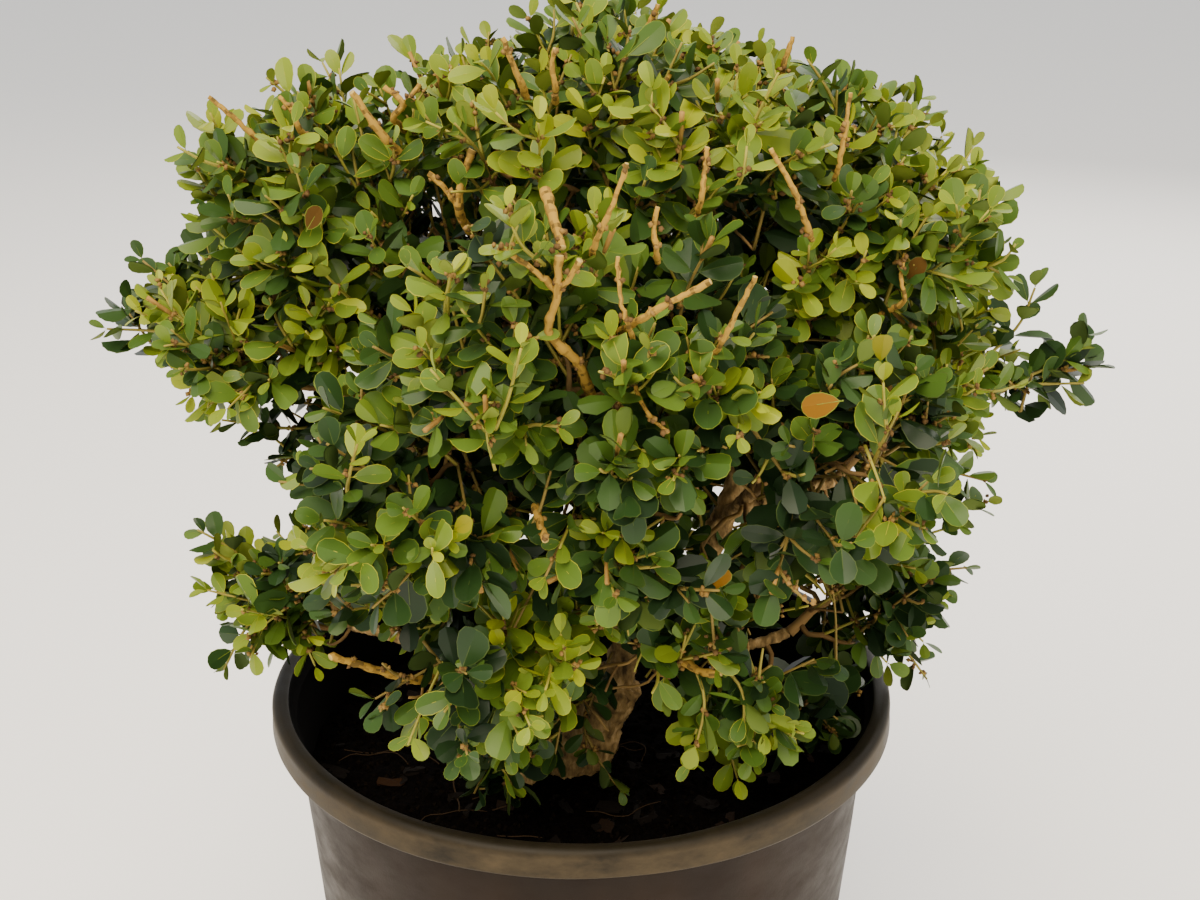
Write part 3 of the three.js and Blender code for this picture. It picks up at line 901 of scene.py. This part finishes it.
def add_shoot(points, mass, age, biggest, outer, clipped, side_shoots):
    """One leafy stem along the given points. age runs from 0, old and dark, to 1, new and bright."""
    length = np.linalg.norm(np.diff(points, axis=0), axis=1).sum()
    path = resampled(points, PAIR_SPACING / 2)
    ahead = np.gradient(path, axis=0)
    ahead /= np.linalg.norm(ahead, axis=1)[:, None]
    lateral = square_to(ahead[0], growth_rng.normal(size=3))
    first = 1 if length < 30 * MM else 2
    stations = list(range(first, len(path), 2))
    turn = growth_rng.uniform(0, math.pi)
    for order, k in enumerate(stations):
        axis = ahead[k]
        lateral = square_to(axis, lateral)
        other = np.cross(axis, lateral)
        last = order == len(stations) - 1
        along = k / (len(path) - 1)
        angle = turn + order * math.pi / 2 + growth_rng.normal(0, 0.18)
        direction = math.cos(angle) * lateral + math.sin(angle) * other
        if not outer and growth_rng.random() < PAIRS_LOST:
            continue
        for sign in (1, -1):
            spread = math.radians(growth_rng.normal(60 - 26 * along ** 2, 9))
            leaf_axis = unit(math.cos(spread) * axis + math.sin(spread) * sign * direction
                             + growth_rng.normal(0, 0.1, 3))
            up = square_to(leaf_axis, axis * 0.75 + light_from * 0.65 + growth_rng.normal(0, 0.33, 3))
            size = biggest * (0.8 + 0.2 * math.sin(math.pi * min(along * 1.15, 1)))
            size *= growth_rng.uniform(0.82, 1.12) * (0.7 if last and not clipped else 1.0)
            luck = growth_rng.random()
            kind = "clipped" if clipped and last and luck < LEAVES_CUT else "whole"
            if kind == "whole" and (not outer or along < 0.4):
                kind = "plain"
            width = size * (growth_rng.uniform(0.52, 0.72) - 0.08 * age)
            newness = min(max(age + 0.55 * (along - 0.7) + growth_rng.normal(0, 0.05), 0.0), 1.0)
            add_leaf(path[k] + leaf_axis * 0.4 * MM, leaf_axis, up, size, width, mass, newness, kind)
        if side_shoots and 0 < order < len(stations) - 1 and growth_rng.random() < WITH_SIDE_SHOOT:
            sign = growth_rng.choice((-1, 1))
            tilt = math.radians(growth_rng.uniform(38, 60))
            heading = unit(math.cos(tilt) * axis + math.sin(tilt) * sign * direction + light_from * 0.15)
            reach = growth_rng.uniform(12, 24) * MM
            bend = path[k] + heading * reach * 0.5 + growth_rng.normal(0, 1.0, 3) * MM
            add_shoot(np.array([path[k], bend, path[k] + heading * reach + light_from * 2 * MM]), mass,
                      min(1.0, age + 0.1), biggest * 0.86, outer, False, False)
        if growth_rng.random() < WITH_BUDS:
            bud_places.append(path[k] + direction * 0.5 * MM)
    if clipped:
        stub = path[-1] + ahead[-1] * growth_rng.uniform(2, 6) * MM
        stub_radii = np.array([0.8, 1.0, 1.0, 1.1]) * MM
        stub_lines.append((np.array([path[-3], path[-2], path[-1], stub]), stub_radii))
        path = path[:-1]
    slim = np.linspace(0.85, 0.5, len(path)) * MM
    stem_lines.append((path, slim))
    stem_tints.append(age)


# How much newer (or older, below zero) the growth of a mass is made than its height alone would say.
# This is painted light and shade: it makes the leaves of lit parts of the crown paler, of shaded parts
# darker.
PAINTED_LIGHT_AND_SHADE_BY_MASS = {
    "foliage_top": 0.06, "foliage_upper_left": 0.06, "foliage_upper_right": 0.2,
    "foliage_left": 0.22, "foliage_right": 0.52, "foliage_lobe_left": 0.5,
    "foliage_front": -0.06, "foliage_front_left": -0.04, "foliage_front_right": -0.06,
    "foliage_middle": -0.12, "foliage_low_front": 0.32, "foliage_low_right": 0.1,
    "foliage_inside_right": -0.3, "foliage_fringe_left": -0.3, "foliage_fringe_right": 0.42}
# Shares of the outer shoots that are all new growth, and that the shears have clipped.
ALL_NEW = 0.07
CLIPPED = 0.16
for shoot in shoots:
    start = wood_nodes[shoot["node"]]
    tip = shoot["tip"]
    way = tip - start
    bow = square_to(unit(way), growth_rng.normal(size=3)) * growth_rng.uniform(0, 4) * MM
    middle = start + way * 0.5 + bow
    if in_gap(middle, 1 * MM) or in_gap(start + way * 0.8, 1 * MM):
        continue
    height = (tip[2] - rim_height) / (cad_high.z - rim_height)
    outer = shoot["facing"] > 0.0
    # Growth is newer, so paler, towards the top: partly real new growth, partly painted light on the crown's
    # top. Inner shoots are made older, so darker: painted shade inside the crown.
    age = growth_rng.normal(0.26 + 0.36 * max(height, 0) ** 1.5, 0.2) + (0.0 if outer else -0.24)
    if outer and growth_rng.random() < ALL_NEW and height > 0.4:
        age = growth_rng.uniform(0.8, 1.0)
    age += PAINTED_LIGHT_AND_SHADE_BY_MASS.get(shoot["mass"], 0.0)
    age = float(min(max(age, 0.0), 1.0))
    biggest = growth_rng.uniform(17.5, 23.0) * MM * (1 - 0.12 * age)
    clipped = outer and height > 0.3 and growth_rng.random() < CLIPPED
    add_shoot(np.array([start, middle, tip]), shoot["mass"], age, biggest, outer, clipped, True)

# Sprays that stand out from the rest: three points of the stem in mm, how new its growth is and
# the length of its longest leaves in mm. Only the first has its end clipped.
SPRAYS = [
    ((-31, -158, 450), (-33, -167, 466), (-33, -170, 480), 0.75, 15),
    ((-32, -166, 466), (-41, -172, 480), (-51, -176, 494), 0.85, 16),
    ((-31, -166, 466), (-25, -172, 482), (-20, -178, 502), 0.95, 16),
    ((-12, -160, 526), (-20, -166, 535), (-24, -168, 547), 0.9, 17),
    ((-88, -126, 400), (-97, -134, 406), (-107, -138, 411), 0.9, 16),
    ((-87, -146, 435), (-84, -154, 447), (-80, -158, 460), 0.8, 16),
    ((-47, -146, 504), (-46, -154, 514), (-44, -158, 526), 0.95, 18),
    ((-66, -100, 350), (-50, -114, 334), (-42, -116, 311), 0.5, 15),
    ((-47, -100, 327), (-40, -104, 304), (-31, -102, 282), 0.55, 15),
    ((54, -106, 345), (66, -112, 333), (68, -112, 309), 0.6, 15),
    ((45, -104, 345), (51, -112, 326), (45, -114, 296), 0.55, 16),
    ((54, -108, 342), (54, -114, 356), (50, -116, 390), 0.6, 15),
    ((98, -30, 290), (112, -36, 276), (121, -38, 265), 0.2, 15),
    ((-146, -30, 350), (-160, -34, 364), (-172, -36, 373), 0.3, 17),
    ((-141, -30, 336), (-155, -34, 322), (-166, -36, 302), 0.3, 15),
    ((-172, -12, 456), (-190, -10, 458), (-210, -10, 459), 0.45, 15),
    ((-168, -12, 468), (-181, -10, 480), (-191, -10, 490), 0.3, 16),
    ((186, -8, 431), (208, -6, 430), (230, -5, 430), 0.6, 16),
    ((196, -6, 431), (214, -5, 438), (226, -5, 446), 0.5, 15),
    ((182, -8, 442), (197, -6, 458), (203, -5, 475), 0.4, 17),
    ((24, -14, 566), (30, -10, 584), (33, -10, 595), 0.6, 14),
    ((-48, -146, 504), (-47, -152, 512), (-44, -154, 524), 1.0, 15),
    ((-26, -154, 524), (-24, -162, 532), (-21, -164, 541), 1.0, 14),
    ((58, -104, 540), (60, -112, 548), (61, -112, 558), 0.95, 14),
    ((-98, -104, 392), (-104, -112, 396), (-112, -116, 402), 1.0, 15),
    ((-20, -138, 416), (-15, -146, 430), (-11, -150, 446), 0.3, 17),
    ((50, -70, 366), (62, -84, 379), (73, -88, 388), 0.2, 17),
    ((146, -8, 351), (162, -8, 356), (180, -8, 362), 0.45, 16),
    ((151, -6, 340), (168, -6, 337), (186, -6, 338), 0.4, 15),
    ((150, -4, 396), (168, -4, 388), (188, -4, 382), 0.5, 16),
    ((160, -6, 372), (176, -6, 368), (190, -6, 372), 0.5, 15),
    ((143, -10, 307), (156, -10, 296), (168, -10, 280), 0.35, 14),
    ((-104, -30, 421), (-128, -30, 419), (-158, -30, 423), 0.3, 14),
    ((-112, -30, 404), (-127, -30, 407), (-145, -30, 424), 0.25, 14),
    ((-106, -22, 424), (-122, -22, 428), (-140, -22, 432), 0.3, 18),
    ((-108, -26, 412), (-124, -26, 417), (-140, -28, 418), 0.35, 17),
    ((-114, -34, 402), (-126, -36, 408), (-134, -38, 404), 0.3, 15)]
for number, (*stem, age, longest) in enumerate(SPRAYS):
    add_shoot(np.array(stem) * MM, "front_sprays", age, longest * MM, True, number == 0, False)

# One drooping spray hangs in front of the trunk.
HANGING = [
    ((14, -40, 312), (2, -58, 290), (2, -60, 274), 0.3, 15),
    ((2, -60, 280), (10, -60, 262), (20, -62, 249), 0.35, 12),
    ((4, -54, 296), (-6, -62, 296), (-14, -64, 300), 0.3, 14)]
for *stem, age, longest in HANGING:
    add_shoot(np.array(stem) * MM, "foliage_fringe_middle", age, longest * MM, True, False, False)

# Dying and dead leaves here and there: place in mm, direction, length in mm, and what colour.
DYING = [
    ((95, -150, 473), (-1, 0.25, -0.25), 16, "orange"), ((19, -134, 376), (-1, 0, 0.3), 12, "orange"),
    ((51, -118, 381), (0.3, -0.4, 0.7), 14, "orange"), ((-104, -96, 523), (0.5, -0.2, 0.8), 12, "brown"),
    ((113, -122, 478), (0, -0.4, 1), 13, "yellow"), ((-47, -158, 426), (0.6, -0.4, 0.5), 11, "yellow"),
    ((128, -86, 500), (0.4, -0.4, 0.8), 12, "brown")]
for spot, direction, longest, state in DYING:
    axis = unit(np.array(direction, float))
    towards_sun = square_to(axis, np.array([0, -1, 0.6]))
    add_leaf(np.array(spot) * MM, axis, towards_sun, longest * MM, longest * 0.62 * MM, "front_sprays",
             0.5, "whole", state)


# ------------------------------------------------------------------------------------------
# Leaves. Box leaves are small, thick and leathery: blunt ovals, widest past the middle and
# often notched at the tip, glossy above with a thin pale margin and midrib, matt and pale below.

BLADE, MARGIN, UNDERSIDE, CUT = range(4)
# Parts of a leaf's length: half its width at the widest, and its margin's width and thickness.
HALF_WIDTH = 0.32
MARGIN_WIDTH = 0.016
LEAF_THICKNESS = 0.016


def leaf_template(cut, cup, droop, detailed):
    """A leaf one unit long, as points, faces and the part of the leaf that each face belongs to."""
    stations = [(0.09, 0.018), (0.23, 0.165), (0.46, 0.288), (0.69, 0.320), (0.87, 0.250), (0.965, 0.120)]
    if not detailed:
        stations = [(0.09, 0.018), (0.30, 0.215), (0.62, 0.320), (0.90, 0.215)]
    if cut:
        stations = stations[:4]
    points, faces, parts = [], [], []

    def point(x, y, lift=0.0):
        out = abs(y) / HALF_WIDTH
        z = -cup * (0.6 * out + 0.4 * out ** 2) * HALF_WIDTH - droop * x * x + lift
        points.append((x, y / (2 * HALF_WIDTH), z))
        return len(points) - 1

    tip_x = stations[-1][0] + 0.004 if cut else 0.988
    petiole = [point(0.0, 0.022), point(0.0, -0.022)]
    for sign in (1, -1):
        middle = [point(x, 0.0) for x, _ in stations]
        tip_inner = point(tip_x - MARGIN_WIDTH * 0.9, 0.0)
        tip_outer = point(tip_x, 0.0)
        inner = [point(x, sign * max(w - MARGIN_WIDTH, 0.004)) for x, w in stations]
        outer = [point(x, sign * w) for x, w in stations] if detailed else inner

        def face(corners, part):
            faces.append(corners if sign > 0 else corners[::-1])
            parts.append(part)

        for k in range(len(stations) - 1):
            face((inner[k], inner[k + 1], middle[k + 1], middle[k]), BLADE)
            if detailed:
                face((outer[k], outer[k + 1], inner[k + 1], inner[k]), MARGIN)
        face((inner[-1], tip_inner, middle[-1]), BLADE)
        if detailed:
            face((outer[-1], tip_outer, tip_inner, inner[-1]), CUT if cut else MARGIN)
        else:
            face((tip_outer, tip_inner, inner[-1]), BLADE)
        base = petiole[0] if sign > 0 else petiole[1]
        face((outer[0], middle[0], base), MARGIN)
    faces.append((petiole[1], middle[0], petiole[0]))
    parts.append(MARGIN)
    if detailed:
        ridge = [point(0.09, 0.010, 0.005), point(0.09, -0.010, 0.005), point(0.62, -0.006, 0.006),
                 point(0.62, 0.006, 0.006)]
        faces.append(tuple(ridge))
        parts.append(MARGIN)
        below = [station for k, station in enumerate(stations) if k not in (1, 4)]
        under_middle = [point(x, 0.0, -LEAF_THICKNESS) for x, _ in below]
        under_middle.append(point(tip_x - 0.01, 0.0, -LEAF_THICKNESS))
        for sign in (1, -1):
            under = [point(x, sign * (w - 0.006), -LEAF_THICKNESS) for x, w in below]
            for k in range(len(below) - 1):
                corners = (under_middle[k], under_middle[k + 1], under[k + 1], under[k])
                faces.append(corners if sign > 0 else corners[::-1])
                parts.append(UNDERSIDE)
            corners = (under_middle[-2], under_middle[-1], under[-1])
            faces.append(corners if sign > 0 else corners[::-1])
            parts.append(UNDERSIDE)
    return np.array(points), faces, parts


# How hollow and how drooping the leaves of each kind are. Plain leaves are those in the shade.
WHOLE_FORMS = ((0.34, 0.08), (-0.26, 0.05), (0.52, 0.20), (0.16, -0.12), (-0.08, 0.18))
OTHER_FORMS = ((0.3, 0.1), (-0.2, 0.04))
leaf_shapes = {"whole": [leaf_template(False, cup, droop, True) for cup, droop in WHOLE_FORMS],
               "clipped": [leaf_template(True, cup, droop, True) for cup, droop in OTHER_FORMS],
               "plain": [leaf_template(False, cup, droop, False) for cup, droop in OTHER_FORMS]}

# Leathery leaves: a waxy upper side with a soft gloss. Colour goes from deep green on old
# shoots to yellow-green on new growth; the tints also carry painted shade inside the crown and
# painted light on its top. A dying leaf turns from the middle outwards.
BLADE_TINTS = ["#182914", "#213718", "#2d451c", "#3b541e", "#4b6321", "#5b7021", "#6d7e20", "#808b1c"]
MARGIN_TINTS = ["#3f5020", "#66751f", "#8f9126"]
UNDER_TINTS = ["#34451a", "#4f6122", "#72802c"]


def tinted(name, tints, roughness, specular):
    return [plain_material(f"{name}_{k}", tint, roughness, specular) for k, tint in enumerate(tints)]


blade_materials = tinted("waxy_leaf_blade", BLADE_TINTS, 0.33, 0.16)
margin_materials = tinted("pale_leaf_margin", MARGIN_TINTS, 0.5, 0.2)
under_materials = tinted("matt_leaf_underside", UNDER_TINTS, 0.65, 0.2)
cut_edge = plain_material("dried_cut_leaf_edge", "#94713a", 0.7, 0.2)
dying_materials = [plain_material("dying_leaf_orange", "#6e4c0a", 0.6, 0.1),
                   plain_material("dead_leaf_brown", "#443010", 0.75, 0.08),
                   plain_material("dying_leaf_yellow", "#76740f", 0.5, 0.2)]
leaf_materials = blade_materials + margin_materials + under_materials + [cut_edge] + dying_materials
FIRST_MARGIN = len(blade_materials)
FIRST_UNDER = FIRST_MARGIN + len(margin_materials)
CUT_EDGE = FIRST_UNDER + len(under_materials)
DYING_TINTS = {"orange": CUT_EDGE + 1, "brown": CUT_EDGE + 2, "yellow": CUT_EDGE + 3}

leaf_rng = np.random.default_rng(71)
for mass in mass_names + ["front_sprays"]:
    of_mass = [leaf for leaf in leaves_to_make if leaf["mass"] == mass]
    blocks, face_blocks, materials_of_faces = [], {3: [], 4: []}, {3: [], 4: []}
    offset = 0
    for kind, shapes in leaf_shapes.items():
        own = [leaf for leaf in of_mass if leaf["kind"] == kind]
        variant = leaf_rng.integers(0, len(shapes), len(own))
        for number, (points, faces, parts) in enumerate(shapes):
            chosen = [leaf for leaf, v in zip(own, variant) if v == number]
            if not chosen:
                continue
            place, ahead, up, length, width, age = (
                np.array([leaf[what] for leaf in chosen])
                for what in ("place", "ahead", "up", "length", "width", "age"))
            side = np.cross(up, ahead)
            length, width = length[:, None, None], width[:, None, None]
            shaped = (place[:, None] + ahead[:, None] * points[None, :, :1] * length
                      + side[:, None] * points[None, :, 1:2] * width
                      + up[:, None] * points[None, :, 2:] * length)
            blocks.append(shaped.reshape(-1, 3))
            tint = age * 6.2 + leaf_rng.normal(0.6, 0.55, len(age))
            tint = np.clip(tint, 0, len(BLADE_TINTS) - 1).astype(int)
            third = np.clip(age * 3 + leaf_rng.normal(0, 0.35, len(age)), 0, 2).astype(int)
            by_part = np.stack([tint, FIRST_MARGIN + third, FIRST_UNDER + third,
                                np.full(len(age), CUT_EDGE)], 1)
            for k, leaf in enumerate(chosen):
                if leaf["dying"]:
                    by_part[k, [BLADE, UNDERSIDE]] = DYING_TINTS[leaf["dying"]]
            starts = offset + np.arange(len(chosen)) * len(points)
            for size in (3, 4):
                picked = [k for k, corners in enumerate(faces) if len(corners) == size]
                if picked:
                    corners = np.array([faces[k] for k in picked])
                    face_blocks[size].append((starts[:, None, None] + corners[None]).reshape(-1, size))
                    materials_of_faces[size].append(by_part[:, [parts[k] for k in picked]].reshape(-1))
            offset += len(chosen) * len(points)
    sizes = [size for size in (3, 4) if face_blocks[size]]
    faces = [np.vstack(face_blocks[size]) for size in sizes]
    face_material = np.concatenate([np.concatenate(materials_of_faces[size]) for size in sizes])
    piece_name = mass.replace("foliage", "leaves") if mass in mass_names else "leaves_" + mass
    leaves = joined(piece_name, np.vstack(blocks), faces, face_material, leaf_materials)
    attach(leaves, "root")
    if mass in mass_names:
        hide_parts(mass)


# ------------------------------------------------------------------------------------------
# Branches, twigs and green stems. Grey-brown bark on what has thickened, tan on last year's
# twigs, and yellow-green on the young square stems.

def wood_piece(name, lines, sides, tints, materials):
    """One piece made of bars; tints says which of the materials each bar has."""
    points, faces, quad_owner, cap_owner = tubes(lines, sides)
    made = joined(name, points, faces, tints[np.concatenate([quad_owner, cap_owner])], materials)
    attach(made, "root")
    return made


colour_rng = np.random.default_rng(83)
branches = wood_piece("branches", branch_lines, 7, colour_rng.integers(0, 2, len(branch_lines)),
                      [plain_material("grey_branch_bark", "#786039", 0.85, 0.2),
                       plain_material("brown_branch_bark", "#8d7042", 0.82, 0.2)])
twigs = wood_piece("twigs", twig_lines, 5, colour_rng.integers(0, 2, len(twig_lines)),
                   [plain_material("tan_twig_bark", "#8a6f3e", 0.78, 0.2),
                    plain_material("brown_twig_bark", "#6f5631", 0.8, 0.2)])
stem_tints = np.clip(np.array(stem_tints) * 3 + colour_rng.normal(0, 0.5, len(stem_tints)), 0, 2).astype(int)
stems = wood_piece("green_stems", stem_lines, 4, stem_tints,
                   [plain_material("olive_stem_skin", "#7b6a34", 0.65, 0.2),
                    plain_material("green_stem_skin", "#857b34", 0.6, 0.2),
                    plain_material("young_stem_skin", "#918c38", 0.55, 0.2)])
stubs = wood_piece("clipped_stem_ends", stub_lines, 5, np.zeros(len(stub_lines), int),
                   [plain_material("clipped_stem_wood", "#937238", 0.75, 0.2)])

# Bare twigs that the shears have cut back, some forked: the points of each in mm and how thick
# it is at its foot, in mm. They are knobbly where leaves once stood.
BARE_TWIGS = [
    ([(4, -134, 470), (-1, -148, 487), (-11, -156, 501), (-8, -162, 515), (-7, -165, 531)], 4.2),
    ([(-7, -160, 516), (-16, -165, 526), (-27, -168, 534)], 2.8),
    ([(-8, -161, 516), (-3, -166, 524), (0, -169, 530)], 2.8),
    ([(-12, -138, 547), (-9, -150, 540), (-6, -160, 532)], 4.6),
    ([(14, -146, 498), (20, -160, 506), (30, -166, 514), (44, -171, 523)], 3.2),
    ([(44, -140, 484), (49, -152, 493), (54, -158, 507), (60, -164, 523)], 2.6),
    ([(4, -146, 526), (6, -154, 534), (11, -158, 546), (16, -160, 561)], 2.6),
    ([(20, -150, 492), (17, -162, 504), (14, -163, 515), (13, -160, 529)], 2.2),
    ([(18, -150, 484), (21, -162, 478), (25, -165, 472), (31, -167, 467)], 1.9),
    ([(-56, -74, 320), (-72, -88, 325), (-88, -96, 335), (-105, -102, 344)], 4.4),
    ([(34, -90, 346), (43, -104, 342), (50, -112, 341), (57, -116, 343)], 4.8),
    ([(-17, -140, 428), (-15, -150, 424), (-13, -158, 422)], 4.2),
    ([(88, -100, 520), (84, -112, 529), (77, -117, 545), (69, -118, 558)], 3.0),
    ([(98, -84, 540), (98, -94, 548), (99, -97, 560), (100, -98, 575)], 2.4),
    ([(-20, -76, 570), (-22, -84, 577), (-25, -88, 585), (-28, -90, 594)], 3.2),
    ([(-9, -76, 568), (-9, -86, 576), (-10, -88, 583), (-9, -90, 590)], 2.8),
    ([(-118, -38, 538), (-127, -44, 546), (-137, -48, 557), (-147, -50, 567)], 2.8),
    ([(-68, -62, 545), (-74, -74, 553), (-80, -78, 563), (-86, -80, 573)], 4.0),
    ([(28, -132, 520), (27, -144, 527), (26, -145, 535), (27, -146, 543)], 2.8),
    ([(-70, -48, 553), (-73, -60, 560), (-69, -62, 566), (-76, -60, 572)], 3.6),
    ([(-70, -60, 563), (-66, -61, 568), (-62, -60, 573)], 2.6),
    ([(12, -24, 566), (22, -30, 583), (28, -30, 592), (32, -30, 600)], 3.4),
    ([(42, -108, 526), (44, -120, 539), (45, -121, 549), (46, -120, 559)], 2.6),
    ([(82, -10, 560), (84, -20, 571), (86, -20, 579), (88, -20, 586)], 3.2),
    ([(-44, -66, 516), (-47, -80, 528), (-45, -81, 540), (-41, -80, 551)], 4.4),
    ([(-47, -80, 529), (-52, -81, 536), (-58, -80, 542)], 3.0),
    ([(-104, -46, 545), (-110, -60, 555), (-112, -61, 562), (-117, -60, 568)], 3.0),
    ([(120, -78, 484), (127, -90, 493), (125, -91, 503), (126, -90, 512)], 2.4),
    ([(16, -58, 556), (24, -70, 564), (30, -71, 571), (35, -70, 578)], 2.6)]
twig_rng = np.random.default_rng(61)
bare_lines = []
for points, thick in BARE_TWIGS:
    path = resampled(np.array(points) * MM, 1.6 * MM)
    slim = np.linspace(1.0, 0.72, len(path)) * thick / 2 * MM
    knobs = np.convolve(twig_rng.random(len(path) + 2) ** 3, (0.25, 0.5, 0.25), "valid")
    slim *= 0.8 + 0.5 * knobs
    bare_lines.append((path + twig_rng.normal(0, 0.16, path.shape) * MM, slim))
bare_twigs = wood_piece("bare_clipped_twigs", bare_lines, 10, np.zeros(len(bare_lines), int),
                        [plain_material("sunlit_tan_twig_bark", "#9c7c33", 0.8, 0.1),
                         plain_material("sunlit_ochre_twig_bark", "#82662b", 0.8, 0.1),
                         plain_material("weathered_twig_bark", "#5e4b24", 0.85, 0.1),
                         plain_material("cut_twig_end", "#b29a56", 0.8, 0.1)])
TAN, OCHRE, WEATHERED, CUT_END = range(4)
for face in bare_twigs.data.polygons:
    mottle = noise.noise(face.center / (2.6 * MM)) + 0.4 * noise.noise(face.center / (0.9 * MM))
    if len(face.vertices) > 4:
        face.material_index = CUT_END
    elif mottle < 0.08:
        face.material_index = TAN
    elif mottle < 0.38:
        face.material_index = OCHRE
    else:
        face.material_index = WEATHERED
bud_places += [path[k] for path, _ in bare_lines for k in twig_rng.integers(3, len(path), 2)]

# Buds: tight pale-brown clusters in the leaf axils.
BUDS_IN_CLUSTER = 4
CLUSTER_SPREAD = 1.05 * MM
bud_rng = np.random.default_rng(97)
bud_points, bud_triangles = lump()
bud_spots = np.repeat(np.array(bud_places), BUDS_IN_CLUSTER, axis=0)
bud_spots += bud_rng.normal(0, 1, bud_spots.shape) * CLUSTER_SPREAD
bud_sizes = bud_rng.uniform(0.85, 1.6, (len(bud_spots), 3)) * MM
bud_turns = turned_about(bud_rng, len(bud_spots))
bud_points, bud_triangles = copies(bud_points, bud_triangles, bud_turns, bud_sizes, bud_spots)
bud_tints = np.repeat(bud_rng.integers(0, 2, len(bud_spots)), LUMP_FACES)
buds = joined("buds", bud_points, [bud_triangles], bud_tints,
              [plain_material("tan_bud_scales", "#7f6433", 0.8, 0.2),
               plain_material("brown_bud_scales", "#5d4626", 0.8, 0.2)])
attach(buds, "root")
